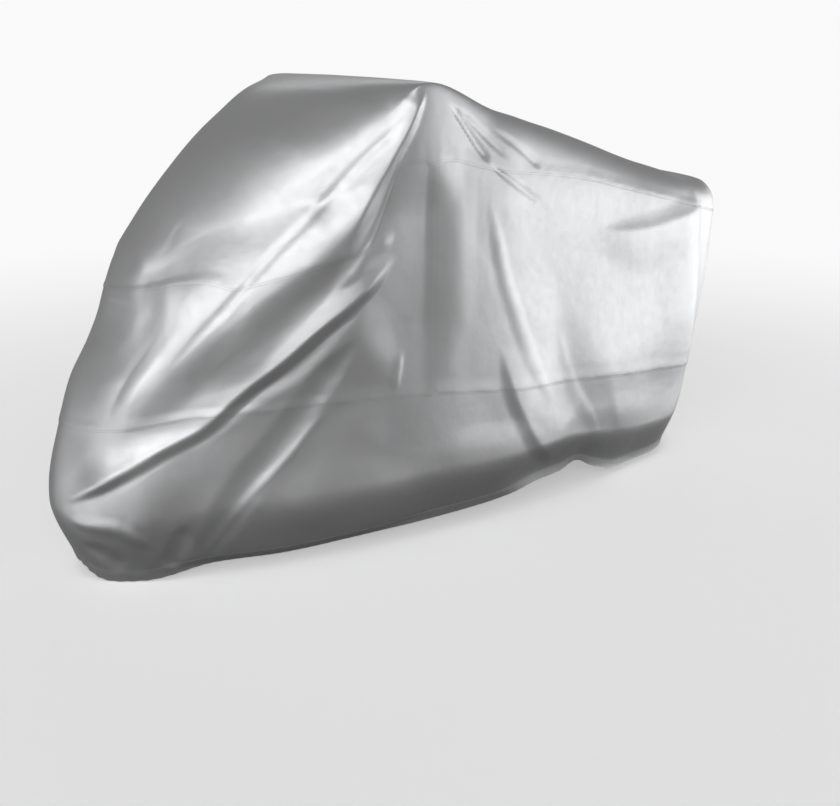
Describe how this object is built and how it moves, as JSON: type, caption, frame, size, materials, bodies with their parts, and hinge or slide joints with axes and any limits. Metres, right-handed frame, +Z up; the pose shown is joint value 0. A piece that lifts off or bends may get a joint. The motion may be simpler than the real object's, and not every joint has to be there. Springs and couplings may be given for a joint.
{
  "type": "motorcycle cover",
  "caption": "Fitted cloth cover for a motorcycle, hollow and open below, tented over the handlebar grips and drawn in at the hem.",
  "frame": {"origin": "underside of the top panel on the centre plane, over the machine's tank, where the machine carries the cloth", "axes": "+X towards the machine's tail, +Y towards its right side, +Z up"},
  "size_m": [2.2941, 0.835, 1.2523],
  "materials": {
    "top_cloth": "satin silver coated polyester",
    "side_cloth": "satin silver coated polyester",
    "skirt_cloth": "satin silver coated polyester"
  },
  "bodies": {
    "root": {"top_panel": "top_cloth", "front_band": "side_cloth", "rear_band": "side_cloth", "skirt": "skirt_cloth"}
  },
  "joints": []
}
